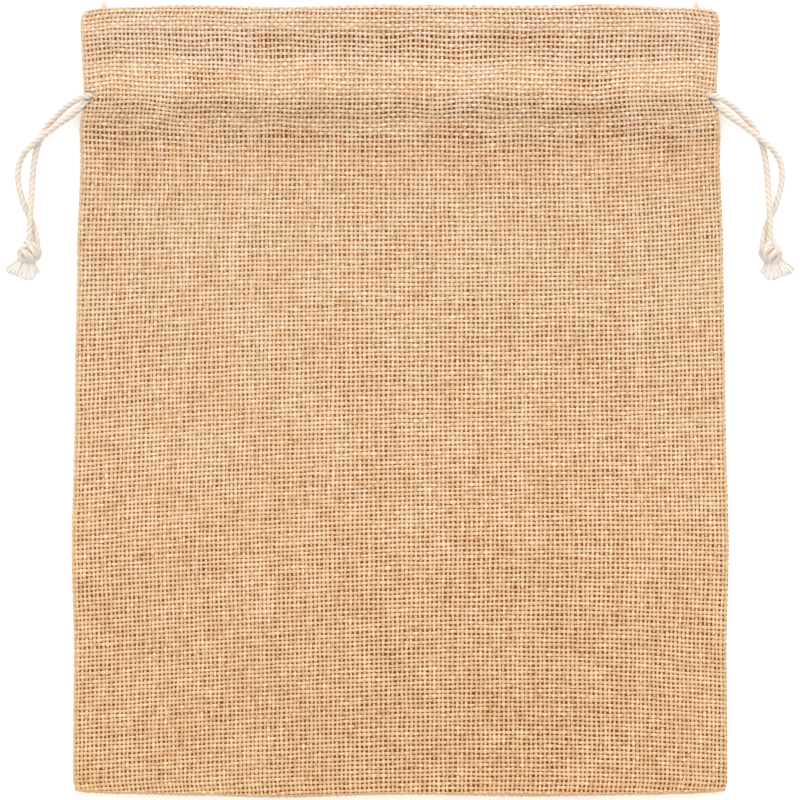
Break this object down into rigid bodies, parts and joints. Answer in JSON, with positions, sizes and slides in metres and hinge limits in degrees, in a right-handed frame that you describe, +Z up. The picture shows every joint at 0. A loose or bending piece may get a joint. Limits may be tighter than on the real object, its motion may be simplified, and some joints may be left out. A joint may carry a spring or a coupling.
{
  "type": "jute drawstring gift bag",
  "caption": "Flat-lying natural jute drawstring bag with a turned-in casing, twisted cotton cords leaving at both sides, and tied cord ends with short frayed tassels.",
  "frame": {"origin": "under the middle of the bag, on the surface that it lies on", "axes": "+Z up from the back panel to the front panel, +Y from the bottom of the bag to its mouth, +X to the right as seen on the front"},
  "size_m": [0.305, 0.3068, 0.0166],
  "materials": {
    "jute": "open plain weave of unbleached jute, dry and matte",
    "cotton": "twisted natural cotton, soft and matte"
  },
  "bodies": {
    "root": {"front_panel": "jute", "back_panel": "jute", "cord_left_in_casing": "cotton", "cord_left_upper_end": "cotton", "cord_left_lower_end": "cotton", "knot_left": "cotton", "cord_right_in_casing": "cotton", "cord_right_upper_end": "cotton", "cord_right_lower_end": "cotton", "knot_right": "cotton"}
  },
  "joints": []
}
